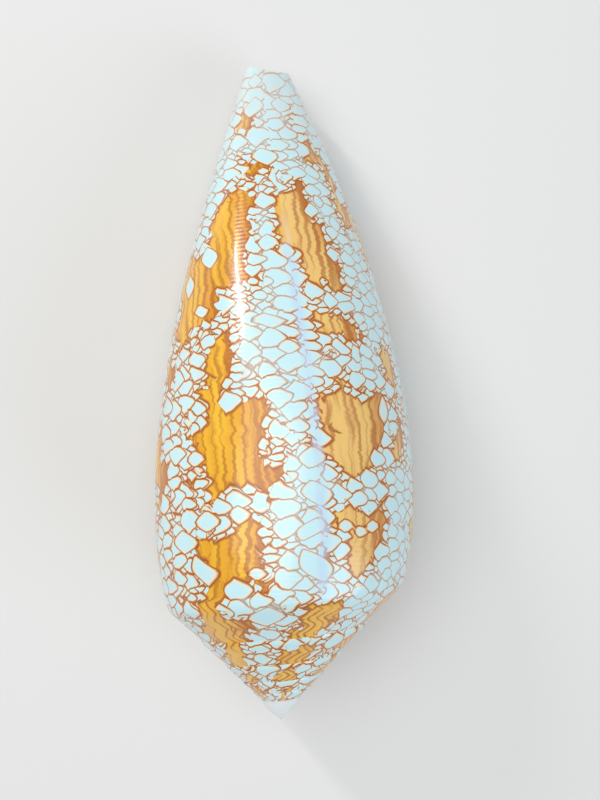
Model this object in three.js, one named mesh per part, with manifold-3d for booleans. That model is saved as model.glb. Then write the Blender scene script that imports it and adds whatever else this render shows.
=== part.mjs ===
// A cone shell lying on its aperture: one grown piece, a wall coiled round an axis.
// Columns of the surface follow the growth back from the lip, and rows run from the suture to the front end.
import * as THREE from "three";
import { mergeVertices } from "three/addons/utils/BufferGeometryUtils.js";
import Module from "manifold-3d";

// Driving dimensions, in millimetres
const SHELL_LENGTH = 90; // front end to apex, along the axis
const SPIRE_HEIGHT = 18; // shoulder at the lip to apex, along the axis
const SHOULDER_RADIUS = 17.7; // shoulder at the lip
const SHOULDER_ROUNDING = 1.1; // length that the rounding takes from the ramp and from the body
const FRONT_RADIUS = 4.4; // front end at the lip
const BODY_PULLS = [
  { share: 0.335, radius: 16 }, // share of the way from the front end to the shoulder
  { share: 0.76, radius: 23.8 },
]; // the body's outline is a cubic curve from the front end to the shoulder, drawn towards these
const WALL = 1.5; // thickness of the last whorl, at the shoulder
const FRONT_WALL = 0.9; // and at the front end
const LIP_BULGE = 0.5; // how far the lip's rounded edge stands out past its last column
const APEX_DOME = 0.3; // height of the blunt first whorl over the ring it closes
const NOTCH_DEPTH = 1.5; // the siphonal notch in the front end
const FLAT_DEPTH = 0.12; // depth of the worn flats that the shell rests on

// Shares and angles
const GROWTH_PER_TURN = 1.42; // size of a whorl against the one before
const FRONT_SHARE = 0.33; // radius at the front end against the one a turn later
const FRONT_FLARE = 2.5; // how soon the coil of the body takes over from the front end's
const TURNS = 5; // whorls before the lip
const LIP_ANGLE = THREE.MathUtils.degToRad(139); // lip at the shoulder, round from the top of the back
const LIP_SWEEP = THREE.MathUtils.degToRad(18); // how far the lip lies back at the front end
const SLOT_TURN = THREE.MathUtils.degToRad(150); // how far the hollow is followed inwards
const NOTCH_ANGLE = THREE.MathUtils.degToRad(30); // middle of the notch, round from the top of the back
const NOTCH_HALF_WIDTH = THREE.MathUtils.degToRad(55);
const REST_PITCH = THREE.MathUtils.degToRad(-7.1); // the spire stands higher than the front end
const REST_ROLL = THREE.MathUtils.degToRad(-3);

// Fineness of the facets
const COLUMNS = 60; // in a turn
const RAMP_ROWS = 2;
const ROUND_ROWS = 3;
const BODY_ROWS = 26;
const SLOT_TOP_ROW = 3; // body rows over the hollow
const SLOT_CLOSING_ROWS = 4; // rows in which the hollow narrows to its top
const APEX_RINGS = 3;

const FULL_TURN = 2 * Math.PI;
const SHOULDER_END = RAMP_ROWS + ROUND_ROWS; // the row where the rounding meets the body
const LAST_ROW = SHOULDER_END + BODY_ROWS;
const SLOT_TOP = SHOULDER_END + SLOT_TOP_ROW;
const LAST_COLUMN = TURNS * COLUMNS;
const SLOT_COLUMNS = Math.round((SLOT_TURN / FULL_TURN) * COLUMNS);
const PEARL = { color: 0xd9e6e4, roughness: 0.28, metalness: 0 };

const bodyOutline = new THREE.CubicBezierCurve(
  new THREE.Vector2(0, FRONT_RADIUS),
  ...BODY_PULLS.map((pull) => new THREE.Vector2(pull.share, pull.radius)),
  new THREE.Vector2(1, SHOULDER_RADIUS),
);

const lerp = THREE.MathUtils.lerp;
const growth = (turned) => GROWTH_PER_TURN ** (-turned / FULL_TURN);

// Radius and distance from the front end of the shoulder's corner, a turn of so much back from the lip.
function shoulderCorner(turned) {
  const scale = growth(turned);
  return { radius: SHOULDER_RADIUS * scale, along: SHELL_LENGTH - SPIRE_HEIGHT * scale };
}

// How far the front end stands back at an angle round the axis.
function frontNotch(angle) {
  const away = Math.atan2(Math.sin(angle - NOTCH_ANGLE), Math.cos(angle - NOTCH_ANGLE));
  return NOTCH_DEPTH * Math.exp(-((away / NOTCH_HALF_WIDTH) ** 2));
}

// The lip lies back towards the front end, and so does every earlier lip.
const sweep = (down) => LIP_SWEEP * down ** 2;

// A point of the body: down is 0 at the shoulder's corner and 1 at the front end.
function bodyPoint(turned, down) {
  const outline = bodyOutline.getPoint(1 - down);
  const share = lerp(1 / GROWTH_PER_TURN, FRONT_SHARE, down ** FRONT_FLARE);
  const angle = LIP_ANGLE - turned - sweep(down);
  const along = lerp(frontNotch(angle), shoulderCorner(turned).along, outline.x);
  return { radius: outline.y * share ** (turned / FULL_TURN), along, angle };
}

// Where the rounding of the shoulder ends on the body.
const roundingEnd = (turned) => (SHOULDER_ROUNDING * growth(turned)) / shoulderCorner(turned).along;

// A point of the outer surface, by the column and the row.
function surfacePoint(column, row) {
  const turned = (FULL_TURN * column) / COLUMNS;
  const end = roundingEnd(turned);
  if (row >= SHOULDER_END) return bodyPoint(turned, lerp(end, 1, (row - SHOULDER_END) / BODY_ROWS));
  const before = turned + FULL_TURN;
  const suture = bodyPoint(before, roundingEnd(before));
  const corner = shoulderCorner(turned);
  const ramp = Math.hypot(corner.radius - suture.radius, corner.along - suture.along);
  const start = 1 - (SHOULDER_ROUNDING * growth(turned)) / ramp;
  const onRamp = (share) => ({
    radius: lerp(suture.radius, corner.radius, share),
    along: lerp(suture.along, corner.along, share),
  });
  const angle = LIP_ANGLE - turned - sweep(end);
  if (row <= RAMP_ROWS) return { ...onRamp((start * row) / RAMP_ROWS), angle };
  const from = onRamp(start);
  const to = bodyPoint(turned, end);
  const t = (row - RAMP_ROWS) / ROUND_ROWS;
  const bend = (a, b, c) => (1 - t) ** 2 * a + 2 * t * (1 - t) * b + t ** 2 * c;
  return {
    radius: bend(from.radius, corner.radius, to.radius),
    along: bend(from.along, corner.along, to.along),
    angle,
  };
}

// The axis runs along Y with the apex towards -Y, and angles go round from +Z towards +X.
const place = ({ radius, along, angle }) =>
  new THREE.Vector3(radius * Math.sin(angle), -along, radius * Math.cos(angle));

const vertices = [];
const triangles = [];
const indexOf = new Map();

function addVertex(point) {
  vertices.push(point);
  return vertices.length - 1;
}

// The vertex of a column and row. A whorl's suture is the end of the rounding of the whorl before it.
function outer(column, row) {
  if (row === 0 && column + COLUMNS <= LAST_COLUMN) return outer(column + COLUMNS, SHOULDER_END);
  const key = `outer ${column} ${row}`;
  if (!indexOf.has(key)) indexOf.set(key, addVertex(place(surfacePoint(column, row))));
  return indexOf.get(key);
}

// The inside of the last whorl's wall, which closes on the whorl before it at the top of the hollow.
function inner(column, row) {
  if (row === SLOT_TOP) return outer(column + COLUMNS, row);
  const key = `inner ${column} ${row}`;
  if (!indexOf.has(key)) {
    const skin = surfacePoint(column, row);
    const wall = lerp(WALL, FRONT_WALL, (row - SHOULDER_END) / BODY_ROWS);
    const lining = place({ ...skin, radius: skin.radius - wall });
    const core = place(surfacePoint(column + COLUMNS, row));
    const open = Math.min(1, (row - SLOT_TOP) / SLOT_CLOSING_ROWS);
    indexOf.set(key, addVertex(core.lerp(lining, Math.sqrt(open))));
  }
  return indexOf.get(key);
}

const addTriangle = (a, b, c) => triangles.push(a, b, c);
function addQuad(a, b, c, d) {
  addTriangle(a, b, c);
  addTriangle(a, c, d);
}

// Joins two runs of vertices, each walked at its own pace.
function bridge(left, right) {
  let i = 0;
  let j = 0;
  while (i < left.length - 1 || j < right.length - 1) {
    const leftNext = (i + 1) / (left.length - 1);
    const rightNext = (j + 1) / (right.length - 1);
    if (j === right.length - 1 || (i < left.length - 1 && leftNext <= rightNext)) {
      if (right[j] !== left[i]) addTriangle(left[i], left[i + 1], right[j]);
      i += 1;
    } else {
      if (right[j] !== left[i]) addTriangle(left[i], right[j + 1], right[j]);
      j += 1;
    }
  }
}

const range = (from, to) => Array.from({ length: to - from + 1 }, (_, i) => from + i);
const slotRows = range(SLOT_TOP, LAST_ROW);

// The last whorl down to the front end, and the earlier whorls down to their sutures.
function skinFaces() {
  for (let column = 0; column < LAST_COLUMN; column += 1) {
    const rows = column < COLUMNS ? LAST_ROW : SHOULDER_END;
    for (let row = 0; row < rows; row += 1) {
      addQuad(
        outer(column, row),
        outer(column, row + 1),
        outer(column + 1, row + 1),
        outer(column + 1, row),
      );
    }
  }
}

// The hollow between the last whorl's wall and the whorl before it, open along the lip and at the front end.
function hollowFaces() {
  for (let column = 0; column < SLOT_COLUMNS; column += 1) {
    const core = column + COLUMNS;
    for (let row = SLOT_TOP; row < LAST_ROW; row += 1) {
      addQuad(outer(core, row), outer(core, row + 1), outer(core + 1, row + 1), outer(core + 1, row));
      addQuad(inner(column, row), inner(column + 1, row), inner(column + 1, row + 1), inner(column, row + 1));
    }
  }
  bridge(
    slotRows.map((row) => outer(COLUMNS + SLOT_COLUMNS, row)),
    slotRows.map((row) => inner(SLOT_COLUMNS, row)),
  );
}

// The lip: a rounded edge along the hollow, and a plain step from there up to the suture.
function lipEdge(row) {
  const skin = vertices[outer(0, row)];
  const lining = vertices[inner(0, row)];
  const onwards = new THREE.Vector3(skin.z, 0, -skin.x).normalize();
  return addVertex(skin.clone().lerp(lining, 0.5).addScaledVector(onwards, LIP_BULGE));
}

function lipFaces() {
  const step = range(SHOULDER_END, SLOT_TOP).map((row) => outer(COLUMNS, row));
  bridge(step, range(0, SLOT_TOP).map((row) => outer(0, row)));
  const edge = slotRows.map((row) => (row === SLOT_TOP ? inner(0, row) : lipEdge(row)));
  bridge(slotRows.map((row) => inner(0, row)), edge);
  bridge(edge, slotRows.map((row) => outer(0, row)));
  return edge[edge.length - 1];
}

// The front end is the coiled wall cut across.
function frontFaces(lipTip) {
  const rim = [
    ...range(0, COLUMNS + SLOT_COLUMNS).reverse().map((column) => outer(column, LAST_ROW)),
    lipTip,
    ...range(0, SLOT_COLUMNS).map((column) => inner(column, LAST_ROW)),
  ];
  const flat = rim.map((index) => new THREE.Vector2(vertices[index].x, vertices[index].z));
  const turnsLeft = THREE.ShapeUtils.area(flat) > 0;
  for (const [a, b, c] of THREE.ShapeUtils.triangulateShape(flat, [])) {
    const sameWay = THREE.ShapeUtils.area([flat[a], flat[b], flat[c]]) > 0 === turnsLeft;
    addTriangle(rim[a], rim[sameWay ? b : c], rim[sameWay ? c : b]);
  }
}

// The first whorl is a blunt dome over the ring that the coil ends in.
function apexFaces() {
  const ring = [
    ...range(LAST_COLUMN - COLUMNS, LAST_COLUMN).map((column) => outer(column, 0)),
    ...range(1, SHOULDER_END - 1).map((row) => outer(LAST_COLUMN, row)),
  ];
  const tip = new THREE.Vector3(0, -SHELL_LENGTH, 0);
  let lower = ring;
  for (let step = 1; step < APEX_RINGS; step += 1) {
    const share = step / APEX_RINGS;
    const rise = APEX_DOME * Math.sin(Math.PI * share);
    const upper = ring.map((index) => {
      const point = vertices[index].clone().lerp(tip, share);
      const away = new THREE.Vector3(point.x, 0, point.z).normalize();
      return addVertex(point.addScaledVector(away, rise));
    });
    ring.forEach((_, i) => {
      const next = (i + 1) % ring.length;
      addQuad(lower[i], lower[next], upper[next], upper[i]);
    });
    lower = upper;
  }
  const top = addVertex(tip);
  lower.forEach((index, i) => addTriangle(index, lower[(i + 1) % lower.length], top));
}

skinFaces();
hollowFaces();
frontFaces(lipFaces());
apexFaces();

const grown = new THREE.BufferGeometry().setFromPoints(vertices).setIndex(triangles);
grown.rotateY(REST_ROLL).rotateX(REST_PITCH);
grown.computeBoundingBox();

// The shell as it lies, with the undersides of the belly and the lip worn flat.
const wasm = await Module();
wasm.setup();

function solidOf(geometry) {
  const bare = geometry.clone();
  bare.deleteAttribute("normal");
  bare.deleteAttribute("uv");
  const merged = mergeVertices(bare, 1e-4);
  return new wasm.Manifold(
    new wasm.Mesh({
      numProp: 3,
      vertProperties: merged.attributes.position.array,
      triVerts: new Uint32Array(merged.index.array),
    }),
  );
}

function geometryOf(solid) {
  const mesh = solid.getMesh();
  return new THREE.BufferGeometry()
    .setAttribute("position", new THREE.BufferAttribute(new Float32Array(mesh.vertProperties), 3))
    .setIndex(new THREE.BufferAttribute(mesh.triVerts, 1));
}

const lowest = grown.boundingBox.min.z;
const ground = new THREE.BoxGeometry(4 * SHELL_LENGTH, 4 * SHELL_LENGTH, SHELL_LENGTH);
ground.translate(0, 0, lowest + FLAT_DEPTH - SHELL_LENGTH / 2);
const worn = geometryOf(solidOf(grown).subtract(solidOf(ground)));
worn.computeBoundingBox();
const { min, max } = worn.boundingBox;
worn.translate(-(min.x + max.x) / 2, -(min.y + max.y) / 2, -min.z);
worn.computeVertexNormals();

const shell = new THREE.Mesh(worn, new THREE.MeshStandardMaterial(PEARL));
shell.name = "shell";

const coneShell = new THREE.Group();
coneShell.add(shell);

export default coneShell;
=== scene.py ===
"""A cone shell lying on its aperture: its grown wall, its tent markings and a plain studio."""
import logging
import math
from dataclasses import dataclass, field
from enum import Enum
from typing import Any, ClassVar, Mapping, Sequence, Union

import bpy
import numpy as np
from mathutils import Matrix, Vector


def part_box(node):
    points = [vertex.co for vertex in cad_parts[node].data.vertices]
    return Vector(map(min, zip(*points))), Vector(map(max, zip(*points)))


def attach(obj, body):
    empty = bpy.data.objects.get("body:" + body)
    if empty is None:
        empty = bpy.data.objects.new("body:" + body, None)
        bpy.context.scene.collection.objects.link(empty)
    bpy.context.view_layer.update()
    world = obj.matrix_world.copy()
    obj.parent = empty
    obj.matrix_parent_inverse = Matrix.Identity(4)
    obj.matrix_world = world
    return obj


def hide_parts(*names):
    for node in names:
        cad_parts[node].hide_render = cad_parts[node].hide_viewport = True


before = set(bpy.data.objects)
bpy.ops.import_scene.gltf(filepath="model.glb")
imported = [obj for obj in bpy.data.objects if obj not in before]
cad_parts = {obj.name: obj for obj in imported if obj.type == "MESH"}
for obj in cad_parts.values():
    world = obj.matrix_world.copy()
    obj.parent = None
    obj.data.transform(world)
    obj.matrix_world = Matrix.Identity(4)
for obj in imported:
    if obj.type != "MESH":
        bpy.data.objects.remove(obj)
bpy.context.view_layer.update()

LOG = logging.getLogger("cone_shell")
TAU = 2 * math.pi
MM_PER_DEGREE = 0.28
FAR_MM = 5.0

Colour = tuple[float, float, float]
Place = tuple[float, float, float]
Range = tuple[float, float]
Value = Union["Wire", float]


def srgb(red: int, green: int, blue: int) -> Colour:
    """Linear colour of three display values.

    Args:
        red: Red from 0 to 255.
        green: Green from 0 to 255.
        blue: Blue from 0 to 255.

    Returns:
        The same colour as shaders take it.
    """
    shares = (channel / 255 for channel in (red, green, blue))
    return tuple(s / 12.92 if s <= 0.04045 else ((s + 0.055) / 1.055) ** 2.4 for s in shares)


def lerp(start: Any, end: Any, share: Any) -> Any:
    """The value that lies a share of the way from start to end."""
    return start + (end - start) * share


def smoothstep(low: float, high: float, value: np.ndarray) -> np.ndarray:
    """A soft step from 0 at low to 1 at high."""
    share = np.clip((value - low) / (high - low), 0.0, 1.0)
    return share * share * (3 - 2 * share)


class Side(Enum):
    """Which surface of the wall a face belongs to."""

    SKIN = 0.0
    LINING = 1.0


@dataclass(frozen=True)
class Wire:
    """An output socket that shader arithmetic is written with."""

    graph: "Graph"
    socket: bpy.types.NodeSocket

    def __add__(self, other: Value) -> "Wire":
        """The sum."""
        return self.graph.math("ADD", self, other)

    def __radd__(self, other: Value) -> "Wire":
        """The sum, with this one last."""
        return self.graph.math("ADD", other, self)

    def __sub__(self, other: Value) -> "Wire":
        """The difference."""
        return self.graph.math("SUBTRACT", self, other)

    def __rsub__(self, other: Value) -> "Wire":
        """The difference, with this one taken away."""
        return self.graph.math("SUBTRACT", other, self)

    def __mul__(self, other: Value) -> "Wire":
        """The product."""
        return self.graph.math("MULTIPLY", self, other)

    def __rmul__(self, other: Value) -> "Wire":
        """The product, with this one last."""
        return self.graph.math("MULTIPLY", other, self)

    def __truediv__(self, other: Value) -> "Wire":
        """The quotient."""
        return self.graph.math("DIVIDE", self, other)

    def __rtruediv__(self, other: Value) -> "Wire":
        """The quotient, with this one below."""
        return self.graph.math("DIVIDE", other, self)

    def __gt__(self, other: Value) -> "Wire":
        """1 where this is greater, 0 elsewhere."""
        return self.graph.math("GREATER_THAN", self, other)

    def __lt__(self, other: Value) -> "Wire":
        """1 where this is less, 0 elsewhere."""
        return self.graph.math("LESS_THAN", self, other)


class Graph:
    """A material's nodes, and the one way in which nodes are added."""

    def __init__(self, name: str) -> None:
        """Start a material with an empty tree.

        Args:
            name: Name of the material.
        """
        self.material = bpy.data.materials.new(name)
        self.material.use_nodes = True
        self.tree = self.material.node_tree
        self.tree.nodes.clear()

    def node(
        self, kind: str, settings: Mapping[str, Any], sockets: Mapping[Any, Any]
    ) -> bpy.types.Node:
        """Add a node.

        Args:
            kind: The node's type.
            settings: Its own settings, set first; a list of stops sets a ramp.
            sockets: Values or links of its input sockets, by name or number.

        Returns:
            The new node.
        """
        made = self.tree.nodes.new(kind)
        for key, value in settings.items():
            if key == "stops":
                self._set_stops(made, value)
            else:
                setattr(made, key, value)
        for key, value in sockets.items():
            if isinstance(value, Wire):
                self.tree.links.new(value.socket, made.inputs[key])
            else:
                made.inputs[key].default_value = value
        return made

    @staticmethod
    def _set_stops(ramp: bpy.types.Node, stops: Sequence[tuple[float, Colour]]) -> None:
        """Give a colour ramp its stops.

        Args:
            ramp: The ramp node.
            stops: Positions and colours, from first to last.
        """
        elements = ramp.color_ramp.elements
        while len(elements) < len(stops):
            elements.new(1.0)
        for element, (place, colour) in zip(elements, stops):
            element.position = place
            element.color = (*colour, 1.0)

    def out(
        self, kind: str, settings: Mapping[str, Any], sockets: Mapping[Any, Any], output: Any = 0
    ) -> Wire:
        """Add a node and take one of its outputs.

        Args:
            kind: The node's type.
            settings: Its own settings.
            sockets: Values or links of its input sockets.
            output: Name or number of the output.

        Returns:
            That output.
        """
        return Wire(self, self.node(kind, settings, sockets).outputs[output])

    def math(self, operation: str, *values: Value) -> Wire:
        """A Math node on values."""
        return self.out("ShaderNodeMath", {"operation": operation}, dict(enumerate(values)))

    def choose(self, share: Value, first: Value, second: Value) -> Wire:
        """A value that goes from first to second with share."""
        return self.out("ShaderNodeMix", {"data_type": "FLOAT"}, {0: share, 2: first, 3: second})

    def blend(self, share: Value, first: Any, second: Any) -> Wire:
        """A colour that goes from first to second.

        Args:
            share: How much of the second colour.
            first: Colour or link.
            second: Colour or link.

        Returns:
            The mixed colour.
        """
        first, second = (c if isinstance(c, Wire) else (*c, 1.0) for c in (first, second))
        settings = {"data_type": "RGBA", "clamp_factor": True}
        return self.out("ShaderNodeMix", settings, {0: share, 6: first, 7: second}, 2)

    def fit(self, value: Value, low: float, high: float) -> Wire:
        """A soft step of value from 0 at low to 1 at high."""
        sockets = {"Value": value, "From Min": low, "From Max": high}
        return self.out("ShaderNodeMapRange", {"interpolation_type": "SMOOTHSTEP"}, sockets)

    def ranged(self, value: Value, old: Range, new: Range) -> Wire:
        """A value carried from an old range into a new one and kept there."""
        names = ("From Min", "From Max", "To Min", "To Max")
        return self.out("ShaderNodeMapRange", {}, {"Value": value, **dict(zip(names, (*old, *new)))})

    def parts(self, vector: Wire) -> tuple[Wire, Wire, Wire]:
        """The three numbers of a vector."""
        split = self.node("ShaderNodeSeparateXYZ", {}, {0: vector})
        return tuple(Wire(self, split.outputs[i]) for i in range(3))

    def channels(self, colour: Wire) -> tuple[Wire, Wire, Wire]:
        """The three numbers of a colour."""
        split = self.node("ShaderNodeSeparateColor", {}, {0: colour})
        return tuple(Wire(self, split.outputs[i]) for i in range(3))

    def scaled(self, value: Value, factor: Value, offset: Value) -> Wire:
        """A value times a factor, plus an offset."""
        return self.math("MULTIPLY_ADD", value, factor, offset)

    def join(self, x: Value, y: Value, z: Value = 0.0) -> Wire:
        """A vector of three numbers."""
        return self.out("ShaderNodeCombineXYZ", {}, {0: x, 1: y, 2: z})

    def noise(self, vector: Wire, scale: float, detail: float = 2.0, output: str = "Fac") -> Wire:
        """Soft cloudy noise.

        Args:
            vector: Where it is read.
            scale: Clouds in a unit of the vector.
            detail: Finer layers on top.
            output: Fac for a value or Color for three.

        Returns:
            The noise.
        """
        sockets = {"Vector": vector, "Scale": scale, "Detail": detail}
        return self.out("ShaderNodeTexNoise", {"noise_dimensions": "3D"}, sockets, output)

    def attribute(self, name: str, output: str = "Vector") -> Wire:
        """A value that the mesh carries."""
        return self.out("ShaderNodeAttribute", {"attribute_name": name}, {}, output)

    def surface(self, sockets: Mapping[str, Any]) -> None:
        """End the tree in a shader.

        Args:
            sockets: Values or links of the shader's input sockets.
        """
        shader = self.out("ShaderNodeBsdfPrincipled", {}, sockets, "BSDF")
        self.node("ShaderNodeOutputMaterial", {}, {"Surface": shader})


@dataclass(frozen=True)
class Grid:
    """How finely the wall is divided."""

    columns: int = 216
    ramp_rows: int = 8
    round_rows: int = 6
    body_rows: int = 132
    slot_top_row: int = 15
    slot_closing_rows: int = 20
    turns: int = 5
    slot_share: float = 150 / 360
    apex_rings: int = 8

    @property
    def shoulder_end(self) -> int:
        """The row where the shoulder's rounding meets the body."""
        return self.ramp_rows + self.round_rows

    @property
    def last_row(self) -> int:
        """The row of the front end."""
        return self.shoulder_end + self.body_rows

    @property
    def last_column(self) -> int:
        """The column where the coil begins."""
        return self.turns * self.columns

    @property
    def slot_columns(self) -> int:
        """Columns of the hollow behind the lip."""
        return round(self.slot_share * self.columns)

    @property
    def slot_top(self) -> int:
        """The row of the hollow's top."""
        return self.shoulder_end + self.slot_top_row


@dataclass(frozen=True)
class Placed:
    """Points of the wall round its axis, in millimetres and radians."""

    radius: np.ndarray
    along: np.ndarray
    angle: np.ndarray

    def points(self) -> np.ndarray:
        """Places, with the axis along Y and the apex towards -Y."""
        across = self.radius * np.sin(self.angle)
        up = self.radius * np.cos(self.angle)
        return np.stack(np.broadcast_arrays(across, -self.along, up), axis=-1)


@dataclass(frozen=True)
class Coil:
    """The coil's sizes, in millimetres, and the points of its wall."""

    length: float = 90.0
    spire_height: float = 18.0
    shoulder_radius: float = 17.7
    shoulder_rounding: float = 1.1
    front_radius: float = 4.4
    pulls: tuple[tuple[float, float], ...] = ((0.335, 16.0), (0.76, 23.8))
    wall: float = 1.5
    front_wall: float = 0.9
    lip_bulge: float = 0.5
    apex_dome: float = 0.3
    notch_depth: float = 1.5
    flat_depth: float = 0.12
    growth_per_turn: float = 1.42
    front_share: float = 0.33
    front_flare: float = 2.5
    lip_angle: float = math.radians(139)
    lip_sweep: float = math.radians(18)
    notch_angle: float = math.radians(30)
    notch_half_width: float = math.radians(55)
    rest_pitch: float = math.radians(-7.1)
    rest_roll: float = math.radians(-3)

    def growth(self, turned: np.ndarray) -> np.ndarray:
        """Size of the whorl a turn of so much back from the lip."""
        return self.growth_per_turn ** (-turned / TAU)

    def corner(self, turned: np.ndarray) -> tuple[np.ndarray, np.ndarray]:
        """Radius and distance from the front end of the shoulder's corner."""
        scale = self.growth(turned)
        return self.shoulder_radius * scale, self.length - self.spire_height * scale

    def outline(self, down: np.ndarray) -> tuple[np.ndarray, np.ndarray]:
        """The body's outline at the lip.

        Args:
            down: 0 at the shoulder's corner and 1 at the front end.

        Returns:
            Share of the way from the front end to the shoulder, and the radius there.
        """
        stops = ((0.0, self.front_radius), *self.pulls, (1.0, self.shoulder_radius))
        up = 1 - down
        weights = (down**3, 3 * up * down**2, 3 * up**2 * down, up**3)
        shares = sum(w * stop[0] for w, stop in zip(weights, stops))
        radii = sum(w * stop[1] for w, stop in zip(weights, stops))
        return shares, radii

    def front_notch(self, angle: np.ndarray) -> np.ndarray:
        """How far the front end stands back at an angle round the axis."""
        away = np.arctan2(np.sin(angle - self.notch_angle), np.cos(angle - self.notch_angle))
        return self.notch_depth * np.exp(-((away / self.notch_half_width) ** 2))

    def body(self, turned: np.ndarray, down: np.ndarray) -> Placed:
        """Points of the body.

        Args:
            turned: Angle back from the lip.
            down: 0 at the shoulder's corner and 1 at the front end.

        Returns:
            The points.
        """
        share, radius = self.outline(down)
        kept = lerp(1 / self.growth_per_turn, self.front_share, down**self.front_flare)
        angle = self.lip_angle - turned - self.lip_sweep * down**2
        along = lerp(self.front_notch(angle), self.corner(turned)[1], share)
        return Placed(radius * kept ** (turned / TAU), along, angle)

    def rounding_end(self, turned: np.ndarray) -> np.ndarray:
        """Where the rounding of the shoulder ends on the body."""
        return self.shoulder_rounding * self.growth(turned) / self.corner(turned)[1]

    def skin(self, turned: np.ndarray, row: np.ndarray, grid: Grid) -> Placed:
        """Points of the outer surface.

        Args:
            turned: Angles back from the lip, down the first axis.
            row: Rows, along the second axis.
            grid: How the rows are shared out.

        Returns:
            The points.
        """
        end = self.rounding_end(turned)
        body = self.body(turned, lerp(end, 1.0, np.maximum(row - grid.shoulder_end, 0) / grid.body_rows))
        before = turned + TAU
        suture = self.body(before, self.rounding_end(before))
        radius, along = self.corner(turned)
        ramp = np.hypot(radius - suture.radius, along - suture.along)
        start = 1 - self.shoulder_rounding * self.growth(turned) / ramp
        share = start * np.clip(row / grid.ramp_rows, 0, 1)
        ramp_radius = lerp(suture.radius, radius, share)
        ramp_along = lerp(suture.along, along, share)
        bend = np.clip((row - grid.ramp_rows) / grid.round_rows, 0, 1)
        ends = self.body(turned, end)
        first, middle, last = (1 - bend) ** 2, 2 * bend * (1 - bend), bend**2
        round_radius = first * ramp_radius + middle * radius + last * ends.radius
        round_along = first * ramp_along + middle * along + last * ends.along
        on_body = row >= grid.shoulder_end
        return Placed(
            np.where(on_body, body.radius, round_radius),
            np.where(on_body, body.along, round_along),
            np.where(on_body, body.angle, self.lip_angle - turned - self.lip_sweep * end**2),
        )

    def travelled(self, turned: np.ndarray) -> np.ndarray:
        """How far the shoulder has grown since a turn of so much back from the lip."""
        rate = math.log(self.growth_per_turn)
        return self.shoulder_radius * TAU / rate * (1 - self.growth(turned))

    def at_rest(self, points: np.ndarray) -> np.ndarray:
        """Points turned to how the shell lies."""
        turn = Matrix.Rotation(self.rest_pitch, 3, "X") @ Matrix.Rotation(self.rest_roll, 3, "Y")
        return points @ np.array(turn).T


@dataclass(frozen=True)
class Patch:
    """An ochre patch: its middle and half size, in degrees back from the lip and in millimetres."""

    back: float
    half_back: float
    along: float
    half_along: float
    lean: float = 0.0
    squareness: ClassVar[int] = 3
    tent_rounding: ClassVar[float] = 0.4
    tent_point: ClassVar[float] = 0.75
    tent_base: ClassVar[float] = 1.2
    tent_flank: ClassVar[float] = 1.5

    def across(self, back: np.ndarray, along: np.ndarray) -> np.ndarray:
        """Place across the patch, from -1 at its old edge to 1 at its young edge."""
        middle = self.back + self.lean * (along - self.along) / self.half_along
        return (middle - back) / self.half_back

    def depth(self, reach: np.ndarray) -> np.ndarray:
        """Millimetres inside the edge, where reach is 0 in the middle and 1 at the edge."""
        return (1 - reach) * min(self.half_back * MM_PER_DEGREE, self.half_along)

    def inside(self, back: np.ndarray, along: np.ndarray) -> np.ndarray:
        """How far inside the patch points lie.

        Args:
            back: Degrees back from the lip.
            along: Millimetres from the front end.

        Returns:
            Millimetres from the edge, less than 0 outside.
        """
        across = np.abs(self.across(back, along))
        over = np.abs((along - self.along) / self.half_along)
        power = self.squareness
        return self.depth((across**power + over**power) ** (1 / power))

    def inside_tent(self, back: np.ndarray, along: np.ndarray) -> np.ndarray:
        """How far inside a tent of this size points lie.

        Args:
            back: Degrees back from the lip.
            along: Millimetres from the front end.

        Returns:
            Millimetres from the edge, less than 0 outside.
        """
        across = self.across(back, along)
        rounding = self.tent_rounding
        over = np.hypot((along - self.along) / self.half_along, rounding) - rounding
        pointed = np.maximum(across, -self.tent_base * across)
        return self.depth(self.tent_point * pointed + self.tent_flank * over)


PATCHES = (
    Patch(157.5, 17, 29.5, 7.5, 3),
    Patch(178, 21, 35, 6),
    Patch(159, 6, 45, 5),
    Patch(153, 16, 55.4, 5.8),
    Patch(155, 14, 68.3, 3.6),
    Patch(163, 6, 72, 2),
    Patch(108, 14, 28.5, 7, -6.5),
    Patch(104.5, 9.5, 41.1, 1.9),
    Patch(101, 15, 53.6, 5.2),
    Patch(109, 7, 54, 3.5),
    Patch(101.5, 10.5, 66.1, 3.5),
    Patch(150, 8, 10.5, 1.3),
    Patch(142, 9, 18.6, 1.1, 3),
    Patch(81, 5, 13.2, 2),
    Patch(69, 6, 20.4, 4),
    Patch(52, 7, 26, 3.5),
    Patch(40, 7, 34, 3),
    Patch(71, 5, 47, 3),
    Patch(76, 5, 54, 2),
    Patch(54, 9, 64, 4),
    Patch(203, 9, 57, 4),
    Patch(200, 6, 43, 3),
    Patch(232, 14, 53, 6),
    Patch(230, 14, 31, 7),
    Patch(226, 12, 68, 3.5),
    Patch(284, 17, 31, 8),
    Patch(280, 14, 54, 6),
    Patch(287, 15, 69, 4),
    Patch(336, 16, 29, 7),
    Patch(333, 16, 53, 6.5),
    Patch(338, 13, 68, 3.5),
    Patch(8, 9, 32, 7),
    Patch(9, 9, 55, 6),
    Patch(10, 10, 68, 3.5),
)

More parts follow.
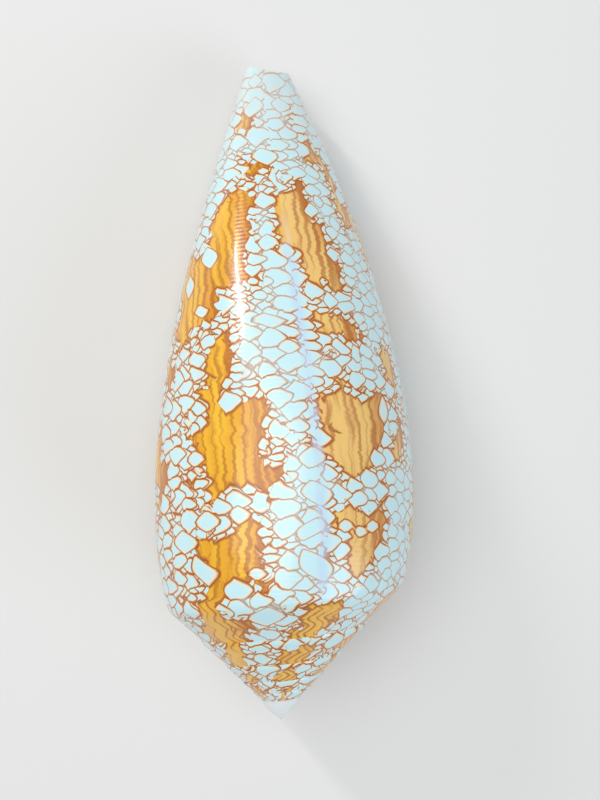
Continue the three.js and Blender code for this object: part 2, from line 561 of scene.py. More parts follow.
LARGE_TENTS = (
    Patch(137, 14, 3.2, 1.4),
    Patch(138, 14, 8.0, 1.8, 4),
    Patch(99, 12, 7.6, 1.5, 2),
    Patch(127, 11, 16.4, 1.5, -3),
    Patch(91, 4, 23.1, 1.2),
    Patch(83, 4.5, 26, 1.3),
    Patch(131, 5.2, 29.6, 1.3, 1),
    Patch(120, 4.5, 30.9, 1.2),
    Patch(170, 6.5, 30.4, 1.8, -3),
    Patch(187, 6, 33.5, 2.2, -2),
    Patch(171, 5, 38, 1.1, -2),
    Patch(134, 7, 40.2, 1.2, -2),
    Patch(126, 4.5, 43.7, 1),
    Patch(84, 3.5, 51.6, 2.1, 1),
    Patch(171, 5, 56.7, 1.2),
    Patch(122, 5, 57.2, 1.5, 1),
    Patch(121, 5.5, 61.2, 1.7, -2),
    Patch(152, 4, 63.4, 1.3),
    Patch(166, 6, 64.2, 1.4),
    Patch(124, 5, 65.3, 1.5, 4),
    Patch(109.5, 3.6, 65.2, 0.95),
    Patch(103, 3.4, 65.9, 0.9),
    Patch(97, 3.2, 65.3, 0.85),
    Patch(180, 6.5, 66.5, 1.5),
    Patch(122, 6, 69.8, 2.2, -5),
    Patch(146, 4, 70.2, 1),
    Patch(171, 6, 69.9, 2, -3),
    Patch(143, 8, 75.8, 1.8, 1),
)


@dataclass(frozen=True)
class Markings:
    """Where the markings lie on the wall, in growth coordinates."""

    scar_back: float = 119.0
    young_fineness: float = 1.2
    young_shift: tuple[float, float] = (37.3, 11.7)
    spire_patch_back: float = 118.0
    spire_patch_pitch: float = 52.0
    spire_patch_swing: float = 1.7
    spire_strip: float = 2.2
    spire_gap: float = 0.1
    plain_turns: Range = (4.2, 5.0)
    ochre_shrink: float = 0.25
    calm: float = 0.75
    calm_depth: Range = (0.7, 2.2)
    tent_waver: float = 0.15
    front_growth: float = 0.5
    front_reach: float = 10.0
    least_area: float = 1e-6
    patches: tuple[Patch, ...] = PATCHES
    large_tents: tuple[Patch, ...] = LARGE_TENTS
    waves: tuple[tuple[float, float, float, float], ...] = (
        (0.6, 0.75, 0.5, 0.4),
        (0.5, -0.5, 1.0, 1.9),
        (0.4, 1.15, 0.6, 4.1),
    )
    vectors: ClassVar[Mapping[str, int]] = {"grown": 0, "falling": 3}
    numbers: ClassVar[Mapping[str, int]] = {"lead": 6, "plain": 7}

    def uneven(self, grown: np.ndarray, up: np.ndarray) -> np.ndarray:
        """Millimetres by which the edges of patches stray."""
        return sum(size * np.sin(x * grown + y * up + phase) for size, x, y, phase in self.waves)

    def slopes(
        self, depth: np.ndarray, grown: np.ndarray, up: np.ndarray
    ) -> tuple[np.ndarray, np.ndarray]:
        """How steeply a depth falls.

        Args:
            depth: Millimetres inside the ochre, columns by rows.
            grown: Millimetres grown.
            up: Millimetres up from the front end.

        Returns:
            Its fall in a millimetre along the growth, and in a millimetre up.
        """
        depth_column, depth_row = np.gradient(depth)
        grown_column, grown_row = np.gradient(grown)
        up_column, up_row = np.gradient(up)
        area = grown_column * up_row - grown_row * up_column
        area = np.where(np.abs(area) < self.least_area, self.least_area, area)
        across = (depth_row * up_column - depth_column * up_row) / area
        upwards = (depth_column * grown_row - depth_row * grown_column) / area
        return np.clip(across, -1, 1), np.clip(upwards, -1, 1)

    def coordinates(self, coil: Coil, grid: Grid, turned: np.ndarray, row: np.ndarray) -> np.ndarray:
        """Growth coordinates over the outer surface.

        Args:
            coil: The coil's sizes.
            grid: How the rows are shared out.
            turned: Angles back from the lip, down the first axis.
            row: Rows, along the second axis.

        Returns:
            Millimetres grown, millimetres up from the front end, millimetres inside the ochre, its
            fall along the growth and up, millimetres inside a large tent, the place across a patch,
            and how plain the wall is.
        """
        placed = coil.skin(turned, row, grid)
        back = np.degrees(turned) + 0 * row
        down = np.maximum(row - grid.shoulder_end, 0) / grid.body_rows
        on_ramp = row < grid.shoulder_end
        shrink = np.where(on_ramp, 1.0, coil.outline(down)[1] / coil.shoulder_radius)
        scar = math.radians(self.scar_back)
        grown = (coil.travelled(np.array(scar)) - coil.travelled(turned)) * shrink
        coarse = self.front_growth * np.exp(-placed.along / self.front_reach)
        steps = np.hypot(np.diff(placed.radius, axis=1), np.diff(placed.along, axis=1))
        shoulder = placed.along[:, grid.shoulder_end, None]
        climb = placed.along - shoulder
        climb[:, : grid.shoulder_end] = np.cumsum(steps[:, grid.shoulder_end - 1 :: -1], axis=1)[:, ::-1]
        up = shoulder + climb
        ochre = np.full(up.shape, -FAR_MM)
        lead = np.zeros_like(up)
        for patch in self.patches:
            inside = patch.inside(back, placed.along)
            lead = np.where(inside > ochre, np.clip(patch.across(back, placed.along), -1, 1), lead)
            ochre = np.maximum(ochre, inside)
        wave = np.cos(TAU * (back - self.spire_patch_back) / self.spire_patch_pitch)
        uneven = self.uneven(grown, up)
        on_spire = np.minimum(climb - self.spire_strip, -self.spire_gap)
        ochre = np.maximum(ochre, self.spire_patch_swing * wave + on_spire)
        calmed = 1 - self.calm * smoothstep(*self.calm_depth, ochre)
        ochre = ochre + uneven * calmed - self.ochre_shrink
        waver = uneven * self.tent_waver
        depths = [tent.inside_tent(back, up) + waver * tent.half_along for tent in self.large_tents]
        second, first = np.sort(np.maximum(depths, -FAR_MM), axis=0)[-2:]
        large = np.minimum(first, first - second)
        plain = smoothstep(*self.plain_turns, turned / TAU)
        grown = grown * (1 - coarse)
        up = up + self.front_reach * coarse
        values = (grown, up, ochre, *self.slopes(ochre, grown, up), large, lead, plain)
        return np.stack(np.broadcast_arrays(*values), axis=-1)


@dataclass
class ShellMesh:
    """Vertices and faces of the wall, with what each face corner carries."""

    points: list[np.ndarray] = field(default_factory=list)
    count: int = 0
    corners: list[np.ndarray] = field(default_factory=list)
    carried: list[np.ndarray] = field(default_factory=list)

    def places(self) -> np.ndarray:
        """Places of all vertices so far."""
        return np.concatenate(self.points)

    def add_points(self, points: np.ndarray) -> np.ndarray:
        """Add vertices.

        Args:
            points: Places, in the last axis.

        Returns:
            Their numbers, in the shape of the other axes.
        """
        flat = points.reshape(-1, 3)
        self.points.append(flat)
        first = self.count
        self.count += len(flat)
        return np.arange(first, self.count).reshape(points.shape[:-1])

    def add_faces(self, faces: np.ndarray, carried: np.ndarray, side: Side) -> None:
        """Add faces.

        Args:
            faces: Vertex numbers, a face in each row.
            carried: Growth coordinates of each corner.
            side: The surface that they belong to.
        """
        values = np.array(carried)
        values[..., -1] = np.maximum(values[..., -1], side.value)
        distinct = faces != np.roll(faces, 1, axis=1)
        for face, value, kept in zip(faces, values, distinct):
            self.corners.append(face[kept])
            self.carried.append(value[kept])

    def add_plain(self, faces: np.ndarray, carried: np.ndarray, side: Side) -> None:
        """Add faces whose corners all carry the same growth coordinates."""
        self.add_faces(faces, np.broadcast_to(carried, (*faces.shape, len(carried))), side)

    def add_grid(self, numbers: np.ndarray, carried: np.ndarray, side: Side) -> None:
        """Add the faces between neighbouring columns and rows.

        Args:
            numbers: Vertex numbers, columns by rows.
            carried: Growth coordinates, columns by rows.
            side: The surface that they belong to.
        """
        picks = ((slice(None, -1), slice(None, -1)), (slice(None, -1), slice(1, None)))
        picks += ((slice(1, None), slice(1, None)), (slice(1, None), slice(None, -1)))
        faces = np.stack([numbers[pick] for pick in picks], axis=-1).reshape(-1, 4)
        values = np.stack([carried[pick] for pick in picks], axis=-2).reshape(-1, 4, carried.shape[-1])
        self.add_faces(faces, values, side)

    def bridge(self, left: np.ndarray, right: np.ndarray, values: np.ndarray, side: Side) -> None:
        """Join two runs of vertices, each walked at its own pace.

        Args:
            left: Vertex numbers of the first run.
            right: Vertex numbers of the second run.
            values: Growth coordinates that the strip carries.
            side: The surface that the strip belongs to.
        """
        i, j = 0, 0
        last_left, last_right = len(left) - 1, len(right) - 1
        faces = []
        while i < last_left or j < last_right:
            go_left = j == last_right or (i < last_left and (i + 1) / last_left <= (j + 1) / last_right)
            ahead = left[i + 1] if go_left else right[j + 1]
            if left[i] != right[j]:
                faces.append((left[i], ahead, right[j]))
            i, j = (i + 1, j) if go_left else (i, j + 1)
        self.add_plain(np.array(faces), values, side)


@dataclass
class Shell:
    """The shell: one wall, coiled round an axis."""

    coil: Coil = field(default_factory=Coil)
    grid: Grid = field(default_factory=Grid)
    markings: Markings = field(default_factory=Markings)
    mesh: ShellMesh = field(default_factory=ShellMesh)
    crease: float = math.radians(38)

    def __post_init__(self) -> None:
        """Work out the grid of the outer surface."""
        grid = self.grid
        self.turned = np.arange(grid.last_column + 1)[:, None] * TAU / grid.columns
        self.rows = np.arange(grid.last_row + 1)[None, :]
        self.skin_points = self.coil.skin(self.turned, self.rows, grid).points()
        self.values = self.markings.coordinates(self.coil, grid, self.turned, self.rows)
        self.numbers = self._number_skin()

    def _number_skin(self) -> np.ndarray:
        """Number the vertices of the outer surface.

        Returns:
            Vertex numbers, columns by rows. A suture is the end of the rounding of the whorl before.
        """
        grid = self.grid
        used = np.zeros(self.skin_points.shape[:2], dtype=bool)
        used[:, : grid.shoulder_end + 1] = True
        used[: grid.columns + 1, :] = True
        used[: grid.columns + grid.slot_columns + 1, grid.slot_top :] = True
        shared = grid.last_column - grid.columns + 1
        used[:shared, 0] = False
        numbers = np.full(used.shape, -1)
        numbers[used] = self.mesh.add_points(self.skin_points[used])
        numbers[:shared, 0] = numbers[grid.columns :, grid.shoulder_end]
        return numbers

    def skin_faces(self) -> None:
        """The last whorl down to the front end, and the earlier whorls down to their sutures."""
        grid, end = self.grid, self.grid.shoulder_end + 1
        last = slice(None, grid.columns + 1)
        self.mesh.add_grid(self.numbers[last], self.values[last], Side.SKIN)
        early = slice(grid.columns, None)
        self.mesh.add_grid(self.numbers[early, :end], self.values[early, :end], Side.SKIN)

    def hollow_faces(self) -> np.ndarray:
        """The hollow between the last whorl's wall and the whorl before it.

        Returns:
            Vertex numbers of the wall's lining, columns by rows from the hollow's top.
        """
        grid = self.grid
        top, columns, slots = grid.slot_top, grid.columns, grid.slot_columns + 1
        core = self.numbers[columns : columns + slots, top:]
        core_points = self.skin_points[columns : columns + slots, top:]
        self.mesh.add_grid(core, self.values[columns : columns + slots, top:], Side.LINING)
        rows = self.rows[:, top:]
        wall = lerp(self.coil.wall, self.coil.front_wall, (rows - grid.shoulder_end) / grid.body_rows)
        skin = self.coil.skin(self.turned[:slots], rows, grid)
        lining = Placed(skin.radius - wall, skin.along, skin.angle).points()
        opened = np.sqrt(np.clip((rows - top) / grid.slot_closing_rows, 0, 1))[..., None]
        numbers = np.empty(core.shape, dtype=int)
        numbers[:, 1:] = self.mesh.add_points(lerp(core_points, lining, opened)[:, 1:])
        numbers[:, 0] = core[:, 0]
        self.mesh.add_grid(numbers[::-1], self.values[:slots, top:][::-1], Side.LINING)
        self.mesh.bridge(core[-1], numbers[-1], self.values[grid.slot_columns, top], Side.LINING)
        return numbers

    def lip_faces(self, lining: np.ndarray) -> int:
        """The lip: a rounded edge along the hollow, and a plain step from there up to the suture.

        Args:
            lining: Vertex numbers of the wall's lining.

        Returns:
            The vertex where the lip's edge meets the front end.
        """
        grid, plain = self.grid, self.values[0, self.grid.slot_top]
        top, end = grid.slot_top, grid.shoulder_end
        step = self.numbers[grid.columns, end : top + 1]
        self.mesh.bridge(step, self.numbers[0, : top + 1], plain, Side.SKIN)
        points = self.mesh.places()
        skin, inside = points[self.numbers[0, top:]], points[lining[0]]
        onwards = np.stack([skin[:, 2], 0 * skin[:, 0], -skin[:, 0]], axis=-1)
        onwards /= np.linalg.norm(onwards, axis=1, keepdims=True)
        middle = lerp(skin, inside, 0.5) + onwards * self.coil.lip_bulge
        edge = lining[0].copy()
        edge[1:] = self.mesh.add_points(middle[1:])
        self.mesh.bridge(lining[0], edge, plain, Side.LINING)
        self.mesh.bridge(edge, self.numbers[0, top:], plain, Side.LINING)
        return int(edge[-1])

    def front_faces(self, lining: np.ndarray, lip_tip: int) -> None:
        """The front end: the coiled wall cut across.

        Args:
            lining: Vertex numbers of the wall's lining.
            lip_tip: The vertex where the lip's edge meets the front end.
        """
        grid = self.grid
        whole = self.numbers[: grid.columns + grid.slot_columns + 1, -1]
        outside, core = whole[: grid.slot_columns + 1], whole[grid.columns :]
        plain = self.values[0, -1]
        self.mesh.bridge(outside, np.append(lip_tip, lining[:, -1]), plain, Side.LINING)
        rest = whole[grid.slot_columns : grid.columns + 1]
        middle = self.mesh.add_points(self.mesh.places()[rest].mean(axis=0))
        loop = np.concatenate([rest, core[1:], [lining[-1, -1]]])
        faces = np.stack([np.roll(loop, -1), loop, np.full(len(loop), int(middle))], axis=-1)
        self.mesh.add_plain(faces, plain, Side.LINING)

    def apex_faces(self) -> None:
        """The first whorl: a blunt dome over the ring that the coil ends in."""
        grid, coil = self.grid, self.coil
        ring = np.concatenate([
            self.numbers[grid.last_column - grid.columns :, 0],
            self.numbers[grid.last_column, 1 : grid.shoulder_end],
        ])
        base = self.mesh.places()[ring]
        tip = np.array([0.0, -coil.length, 0.0])
        plain = self.values[-1, grid.ramp_rows]
        lower = ring
        for step in range(1, grid.apex_rings):
            share = step / grid.apex_rings
            points = lerp(base, tip, share)
            away = points * np.array([1.0, 0.0, 1.0])
            away /= np.linalg.norm(away, axis=1, keepdims=True)
            upper = self.mesh.add_points(points + away * coil.apex_dome * math.sin(math.pi * share))
            faces = np.stack([lower, np.roll(lower, -1), np.roll(upper, -1), upper], axis=-1)
            self.mesh.add_plain(faces, plain, Side.SKIN)
            lower = upper
        top = int(self.mesh.add_points(tip))
        faces = np.stack([lower, np.roll(lower, -1), np.full(len(lower), top)], axis=-1)
        self.mesh.add_plain(faces, plain, Side.SKIN)

    def laid_down(self) -> np.ndarray:
        """Places of all vertices as the shell lies, in metres, in the box that it has.

        Returns:
            The places, with the underside worn flat.
        """
        points = self.coil.at_rest(self.mesh.places())
        points[:, 2] = np.maximum(points[:, 2], points[:, 2].min() + self.coil.flat_depth)
        low, high = points.min(axis=0), points.max(axis=0)
        box_low, box_high = (np.array(corner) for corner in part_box("shell"))
        return box_low + (points - low) / (high - low) * (box_high - box_low)

    def build(self) -> bpy.types.Object:
        """Make the shell's object.

        Returns:
            The object, riding on the body.
        """
        self.skin_faces()
        lining = self.hollow_faces()
        self.front_faces(lining, self.lip_faces(lining))
        self.apex_faces()
        mesh = bpy.data.meshes.new("shell_wall")
        mesh.from_pydata(self.laid_down().tolist(), [], [face.tolist() for face in self.mesh.corners])
        carried = np.concatenate(self.mesh.carried).astype(np.float32)
        for name, column in self.markings.vectors.items():
            layer = mesh.attributes.new(name, "FLOAT_VECTOR", "CORNER")
            layer.data.foreach_set("vector", carried[:, column : column + 3].ravel())
        for name, column in self.markings.numbers.items():
            layer = mesh.attributes.new(name, "FLOAT", "CORNER")
            layer.data.foreach_set("value", np.ascontiguousarray(carried[:, column]))
        mesh.shade_smooth()
        mesh.set_sharp_from_angle(angle=self.crease)
        wall = bpy.data.objects.new("shell_wall", mesh)
        bpy.context.collection.objects.link(wall)
        mesh.materials.append(ShellFinish().build(self.markings))
        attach(wall, "root")
        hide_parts("shell")
        return wall


@dataclass(frozen=True)
class Spot:
    """Where a point of the wall lies among the markings, in millimetres."""

    across: Wire
    up: Wire
    ochre: Wire
    falling_across: Wire
    falling_up: Wire

    def ochre_at(self, graph: Graph, x: Wire, y: Wire) -> Wire:
        """How far inside the ochre a tent's middle is, from which the point lies x and y away."""
        return graph.scaled(y, self.falling_up, graph.scaled(x, self.falling_across, self.ochre))


@dataclass(frozen=True)
class TentLayer:
    """A layer of tents in staggered columns, each lying over its neighbours on the growing side."""

    cell: tuple[float, float]
    seed: float
    smallest: float
    largest: float
    missing: float
    shy: float
    stray: float = 1.6
    jitter: float = 0.55
    flank: float = math.radians(65)
    girth: float = 0.72
    base: float = 0.3
    blunt: float = 1.9
    roundness: float = 0.55
    rim: float = 0.06
    rim_swell: float = 3.0
    firmness: float = 12.0
    parting: float = 0.85

    def build(self, graph: Graph, spot: Spot, depth: Value, nearest: Value) -> tuple[Wire, Wire]:
        """Add the layer's nodes.

        Args:
            graph: The material's nodes.
            spot: Where the point lies.
            depth: Millimetres inside the tents below from their edges, or 0 between them.
            nearest: Millimetres inside the nearest tent below, less than 0 between them.

        Returns:
            Millimetres inside the top tent from its edge, or 0 between tents, and millimetres inside
            the nearest tent.
        """
        wide, high = self.cell
        home = graph.math("FLOOR", spot.across / wide)
        from_home = spot.across - home * wide
        start = 0.5 - self.jitter / 2
        for column in (1, 0, -1):
            stagger = graph.math("PINGPONG", home + column, 1.0) * (high / 2)
            level = graph.math("FLOOR", (spot.up - stagger) / high)
            from_level = spot.up - stagger - level * high
            first: Value = -FAR_MM
            second: Value = -FAR_MM
            for row in (-1, 0, 1):
                cell = {"Vector": graph.join(home + column, level + row, self.seed)}
                dice = graph.out("ShaderNodeTexWhiteNoise", {"noise_dimensions": "3D"}, cell, "Color")
                shift_x, shift_y, chance = graph.channels(dice)
                x = from_home - graph.scaled(shift_x, self.jitter * wide, (column + start) * wide)
                y = from_level - graph.scaled(shift_y, self.jitter * high, (row + start) * high)
                scale = graph.scaled(chance, self.largest - self.smallest, self.smallest)
                ochre = graph.scaled(shift_x, self.stray, spot.ochre_at(graph, x, y))
                room = graph.scaled(ochre, -self.firmness, (self.stray / 2 - self.shy) * self.firmness)
                room = graph.scaled(chance < self.missing, -FAR_MM * self.firmness, room)
                inside = graph.math("MINIMUM", self._inside(graph, x / scale, y / scale) * scale, room)
                second = graph.math("MAXIMUM", second, graph.math("MINIMUM", first, inside))
                first = graph.math("MAXIMUM", first, inside)
            inside = graph.math("MINIMUM", first, (first - second) * self.parting)
            swell = graph.ranged(inside, (-self.rim, 0.0), (1.0, self.rim_swell))
            depth = graph.choose(first > 0.0, swell * depth, inside)
            nearest = graph.math("MAXIMUM", nearest, first)
        return depth, nearest

    def _inside(self, graph: Graph, x: Wire, y: Wire) -> Wire:
        """How far inside a tent of size 1 a place is.

        Args:
            graph: The material's nodes.
            x: Place along the growth from the tent's middle.
            y: Place up from the tent's middle.

        Returns:
            The distance from the edge, less than 0 outside.
        """
        ahead, aside = math.cos(self.flank), math.sin(self.flank)
        squared = graph.scaled(y, y, self.roundness**2)
        from_base = x + self.base
        pointed = graph.math("MAXIMUM", from_base, from_base * -self.blunt)
        reach = graph.scaled(pointed, -ahead, self.girth + aside * self.roundness)
        inner = graph.scaled(graph.math("SQRT", squared), -aside, reach)
        steep = graph.math("INVERSE_SQRT", 1 - (aside * self.roundness) ** 2 / squared)
        return inner * steep


@dataclass(frozen=True)
class OchreGround:
    """The ochre ground between the tents, with its wavy axial stripes; lengths in millimetres."""

    tan: Colour = srgb(206, 136, 60)
    gold: Colour = srgb(242, 188, 54)
    deep_gold: Colour = srgb(228, 162, 38)
    pale_gold: Colour = srgb(240, 206, 146)
    brown: Colour = srgb(164, 88, 32)
    edge: Colour = srgb(198, 112, 24)
    young_paleness: float = 0.55
    spire_paleness: float = 0.1
    spire_start: Range = (72.0, 74.0)
    sway: float = 2.2
    sway_scale: float = 0.5
    sway_stretch: float = 0.2
    chevron: float = 1.5
    tooth: float = 0.35
    stripe_pitch: float = 1.3
    stripe_stretch: float = 0.07
    line_scale: float = 1.5
    tone_scale: float = 0.5
    tone_range: Range = (0.3, 0.7)
    border_waver: float = 0.9
    border_range: Range = (0.75, 1.3)
    border_strength: float = 0.6
    stripe_lead: float = 0.1
    stripe_ripple: float = 0.14
    stripe_range: Range = (0.44, 0.68)
    stripe_strength: float = 0.6
    spire_stripes: float = 0.2

    def build(self, graph: Graph, grown: Wire, up: Wire, cover: Wire, lead: Wire) -> Wire:
        """Add the ground's nodes.

        Args:
            graph: The material's nodes.
            grown: Millimetres grown.
            up: Millimetres up from the front end.
            cover: Where the ochre lies.
            lead: From -1 at a patch's old edge to 1 at its young edge.

        Returns:
            The ground's colour.
        """
        where = graph.join(grown * self.sway_stretch, up)
        sway = graph.noise(where, self.sway_scale, 3.0) * self.sway
        sway = sway + graph.math("PINGPONG", up, self.chevron) * graph.fit(up, *self.spire_start)
        sway = sway + graph.math("PINGPONG", up + sway, self.tooth) * self.tooth
        streak = graph.join(grown + sway, up * self.stripe_stretch)
        lines = graph.noise(streak, self.line_scale, 1.0)
        broad = graph.noise(streak, self.tone_scale, 1.0)
        ripple = graph.math("SINE", (grown + sway) * (TAU / self.stripe_pitch))
        tone = graph.blend(graph.fit(broad, *self.tone_range), self.deep_gold, self.gold)
        on_spire = graph.fit(up, *self.spire_start)
        pale = graph.choose(on_spire, (grown > 0.0) * self.young_paleness, self.spire_paleness)
        tone = graph.blend(pale, tone, self.pale_gold)
        border = graph.fit(lead + lines * self.border_waver, *self.border_range)
        tone = graph.blend(border * self.border_strength, tone, self.edge)
        height = lines + lead * self.stripe_lead + ripple * self.stripe_ripple
        stripe = graph.fit(height, *self.stripe_range)
        strength = on_spire * self.spire_stripes + self.stripe_strength
        gold = graph.blend(stripe * strength, tone, self.brown)
        return graph.blend(cover, self.tan, gold)


@dataclass(frozen=True)
class TentPaint:
    """The tents' white, whose blue tint is painted cool light, and the brown lines round them."""

    # The blue tint of the tents' white is painted cool light; the tents themselves are white.
    sky_tinted_white: Colour = srgb(198, 231, 237)
    cream: Colour = srgb(234, 222, 194)
    blush: Colour = srgb(220, 172, 112)
    line: Colour = srgb(176, 100, 42)
    dark_line: Colour = srgb(150, 74, 26)
    line_width: float = 0.2
    places: tuple[float, ...] = (0.0, 0.7, 1.15, 1.7, 3.2)

    def build(self, graph: Graph, ground: Wire, depth: Wire) -> Wire:
        """Lay the tents on the ground.

        Args:
            graph: The material's nodes.
            ground: The ground's colour.
            depth: Millimetres inside the top tent.

        Returns:
            The colour with tents.
        """
        colours = (self.dark_line, self.line, self.blush, self.cream, self.sky_tinted_white)
        stops = tuple((place * self.line_width, colour) for place, colour in zip(self.places, colours))
        tent = graph.out("ShaderNodeValToRGB", {"stops": stops}, {"Fac": depth})
        return graph.blend(depth > 0.0, ground, tent)


@dataclass(frozen=True)
class OldLip:
    """The bluish mark that an old lip left down the back; lengths in millimetres."""

    colour: Colour = srgb(190, 212, 236)
    waver: float = 1.4
    waver_scale: float = 0.25
    half_width: Range = (0.2, 1.0)
    front: Range = (22.0, 36.0)
    shoulder: Range = (71.0, 74.0)
    gap_scale: float = 0.35
    gap_stretch: float = 0.3
    gap_seed: float = 7.0
    gap_range: Range = (0.3, 0.6)
    least: float = 0.2
    gain: float = 0.4

    def build(self, graph: Graph, colour: Wire, grown: Wire, up: Wire) -> Wire:
        """Fade the markings along the old lip.

        Args:
            graph: The material's nodes.
            colour: The colour so far.
            grown: Millimetres grown since the old lip.
            up: Millimetres up from the front end.

        Returns:
            The faded colour.
        """
        waver = graph.noise(graph.join(0.0, up), self.waver_scale)
        away = graph.math("ABSOLUTE", grown + waver * self.waver - self.waver / 2)
        clouds = graph.noise(graph.join(grown * self.gap_stretch, up, self.gap_seed), self.gap_scale)
        broken = graph.fit(clouds, *self.gap_range)
        faded = (1 - graph.fit(away, *self.half_width)) * graph.fit(up, *self.front)
        faded = faded * (broken * self.gain + self.least) * (1 - graph.fit(up, *self.shoulder))
        return graph.blend(faded, colour, self.colour)


@dataclass(frozen=True)
class Gloss:
    """The polish of the shell, with its fine spiral ridges and growth lines."""

    ridge_pitch: float = 0.55
    ridge_share: float = 0.5
    growth_line: Range = (1.5, 0.15)
    bump_strength: float = 0.09
    bump_metres: float = 0.00008
    least_rough: float = 0.17
    rough_swing: float = 0.14
    rough_scale: float = 0.7
    coat: float = 0.3
    coat_rough: float = 0.06

    def build(self, graph: Graph, colour: Wire, flat: Wire) -> None:
        """Add the glossy shader.

        Args:
            graph: The material's nodes.
            colour: The shell's colour.
            flat: Growth coordinates.
        """
        grown, up, _ = graph.parts(flat)
        across, along = self.growth_line
        ridges = graph.math("SINE", up * (TAU / self.ridge_pitch)) * self.ridge_share
        height = ridges + graph.noise(graph.join(grown * across, up * along), 1.0, 3.0)
        relief = {"Strength": self.bump_strength, "Distance": self.bump_metres, "Height": height}
        bump = graph.out("ShaderNodeBump", {}, relief, "Normal")
        rough = graph.noise(flat, self.rough_scale, 3.0) * self.rough_swing + self.least_rough
        graph.surface({
            "Base Color": colour,
            "Roughness": rough,
            "Normal": bump,
            "Coat Weight": self.coat,
            "Coat Roughness": self.coat_rough,
        })


@dataclass(frozen=True)
class ShellFinish:
    """The whole finish of the shell: ground, tents, old lip and gloss."""

    ground: OchreGround = OchreGround()
    paint: TentPaint = TentPaint()
    old_lip: OldLip = OldLip()
    gloss: Gloss = Gloss()
    medium: TentLayer = TentLayer(
        cell=(2.5, 1.85), seed=3.0, smallest=1.0, largest=1.5, missing=0.12, shy=0.9, stray=2.2
    )
    small: TentLayer = TentLayer(
        cell=(1.25, 1.0), seed=17.0, smallest=0.6, largest=0.9, missing=0.06, shy=0.3, stray=1.0
    )
    front: Colour = srgb(224, 218, 212)
    front_fade: Range = (8.0, 18.0)
    front_paleness: float = 0.3
    lining: Colour = srgb(226, 230, 230)
    drift: Range = (1.4, 1.2)
    drift_scale: float = 0.4
    ochre_fade: Range = (-3.2, -0.8)
    outline: Range = (-0.3, -0.02)
    outline_strength: float = 0.85
    faint_start: Range = (-16.0, -8.0)
    faintness: float = 0.35
    faint_thinning: float = 0.25

    def build(self, markings: Markings) -> bpy.types.Material:
        """Make the material.

        Args:
            markings: Where the markings lie.

        Returns:
            The material.
        """
        graph = Graph("shell_glaze")
        grown, up, ochre = graph.parts(graph.attribute("grown"))
        falling_across, falling_up, large = graph.parts(graph.attribute("falling"))
        lead = graph.attribute("lead", "Fac")
        flat = graph.join(grown, up)
        young = grown > 0.0
        drift_x, drift_y, _ = graph.channels(graph.noise(flat, self.drift_scale, 1.0, "Color"))
        fineness = graph.scaled(young, markings.young_fineness - 1, 1.0)
        across = grown * fineness + young * markings.young_shift[0] + drift_x * self.drift[0]
        height = up * fineness + young * markings.young_shift[1] + drift_y * self.drift[1]
        spot = Spot(across, height, ochre, falling_across, falling_up)
        depth, nearest = self.medium.build(graph, spot, *self.small.build(graph, spot, 0.0, -FAR_MM))
        depth = graph.choose(large > 0.0, depth, large)
        cover = graph.fit(ochre, *self.ochre_fade)
        colour = self.ground.build(graph, grown, up, cover, lead)
        outlined = graph.fit(nearest, *self.outline) * self.outline_strength
        colour = graph.blend(outlined, colour, self.paint.line)
        faint = (1 - cover) * graph.fit(grown, *self.faint_start)
        colour = self.paint.build(graph, colour, depth * (faint * self.faint_thinning + 1.0))
        # Fades towards the tents' white, whose blue tint is painted cool light.
        colour = graph.blend(faint * self.faintness, colour, self.paint.sky_tinted_white)
        colour = self.old_lip.build(graph, colour, grown, up)
        worn = (1 - graph.fit(up, *self.front_fade)) * self.front_paleness
        colour = graph.blend(worn, colour, self.front)
        colour = graph.blend(graph.attribute("plain", "Fac"), colour, self.lining)
        self.gloss.build(graph, colour, flat)
        return graph.material


@dataclass(frozen=True)
class Softbox:
    """An area light aimed at the shell."""

    name: str
    place: Place
    size: tuple[float, float]
    watts: float
    colour: Colour

    def build(self) -> bpy.types.Object:
        """Make the light."""
        lamp = bpy.data.lights.new(self.name, "AREA")
        lamp.shape = "RECTANGLE"
        lamp.size, lamp.size_y = self.size
        lamp.energy = self.watts
        lamp.color = self.colour
        box = bpy.data.objects.new(self.name, lamp)
        box.location = self.place
        box.rotation_euler = Vector(self.place).to_track_quat("Z", "Y").to_euler()
        bpy.context.collection.objects.link(box)
        return box


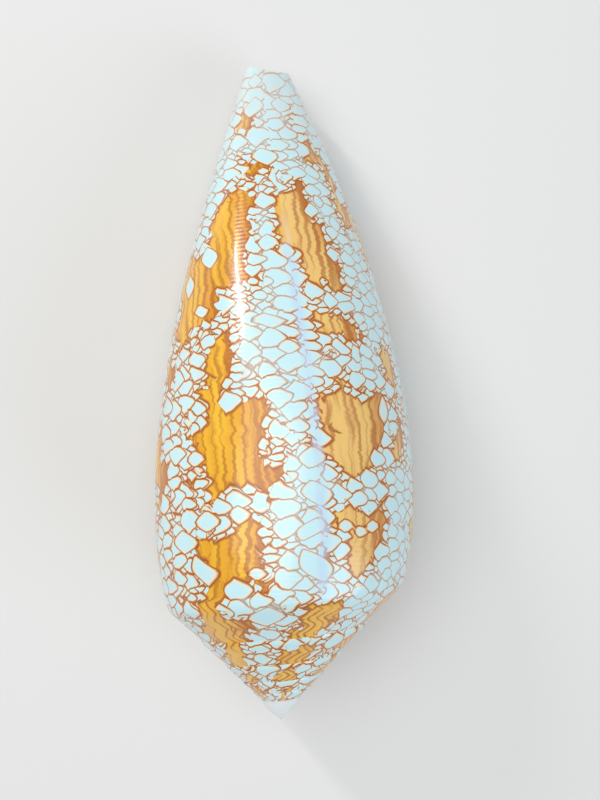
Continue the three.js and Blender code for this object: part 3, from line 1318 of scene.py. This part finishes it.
@dataclass(frozen=True)
class Studio:
    """A pale floor, soft light and a camera over the shell."""

    floor_half: float = 1.5
    floor_colour: Colour = (0.72, 0.71, 0.69)
    floor_roughness: float = 0.8
    sky: Colour = (0.85, 0.92, 1.0)
    sky_strength: float = 0.32
    focal_share: float = 850 / 800
    sensor_mm: float = 24.0
    camera_away: float = 0.11388
    camera_near: float = 0.005
    look_at: Place = (0.00217, -0.00305, 0.016)
    turns_deg: tuple[float, float, float] = (-0.75, 3.91, 1.51)
    boxes: tuple[Softbox, ...] = (
        Softbox("key", (-0.2, 0.08, 0.78), (0.8, 0.8), 5.3, (1.0, 0.99, 0.97)),
        Softbox("streak", (-0.265, 0.32, 0.22), (0.012, 0.17), 0.6, (1.0, 1.0, 1.0)),
        Softbox("fill", (0.5, -0.35, 0.35), (0.4, 0.4), 1.4, (0.8, 0.9, 1.0)),
    )

    def floor(self) -> bpy.types.Object:
        """The plain floor.

        Returns:
            The floor's object.
        """
        half = self.floor_half
        corners = [(-half, -half, 0), (half, -half, 0), (half, half, 0), (-half, half, 0)]
        mesh = bpy.data.meshes.new("floor")
        mesh.from_pydata(corners, [], [(0, 1, 2, 3)])
        graph = Graph("floor_paint")
        graph.surface({"Base Color": (*self.floor_colour, 1.0), "Roughness": self.floor_roughness})
        mesh.materials.append(graph.material)
        ground = bpy.data.objects.new("floor", mesh)
        bpy.context.collection.objects.link(ground)
        return ground

    def world(self) -> None:
        """Even light from all round."""
        world = bpy.data.worlds.new("studio")
        bpy.context.scene.world = world
        world.use_nodes = True
        background = world.node_tree.nodes["Background"]
        background.inputs["Color"].default_value = (*self.sky, 1.0)
        background.inputs["Strength"].default_value = self.sky_strength

    def camera(self) -> bpy.types.Object:
        """The camera, over the shell's back.

        Returns:
            The camera's object.
        """
        lens = bpy.data.cameras.new("camera")
        lens.sensor_fit = "VERTICAL"
        lens.sensor_height = self.sensor_mm
        lens.lens = self.focal_share * self.sensor_mm
        lens.clip_start = self.camera_near
        view = bpy.data.objects.new("camera", lens)
        over_x, over_y, over_z = (
            Matrix.Rotation(math.radians(turn), 3, axis) for turn, axis in zip(self.turns_deg, "XYZ")
        )
        back = (over_z @ over_x @ over_y).transposed()
        place = Vector(self.look_at) + back @ Vector((0, 0, self.camera_away))
        view.matrix_world = Matrix.Translation(place) @ back.to_4x4()
        bpy.context.collection.objects.link(view)
        bpy.context.scene.camera = view
        return view

    def build(self) -> None:
        """Set up the floor, the light and the camera."""
        bpy.context.scene.view_settings.view_transform = "Standard"
        self.floor()
        self.world()
        for box in self.boxes:
            box.build()
        self.camera()


def main() -> None:
    """Build the shell and the studio round it."""
    logging.basicConfig(level=logging.INFO)
    Studio().build()
    wall = Shell().build()
    LOG.info("%s: %d faces", wall.name, len(wall.data.polygons))


if __name__ == "__main__":
    main()
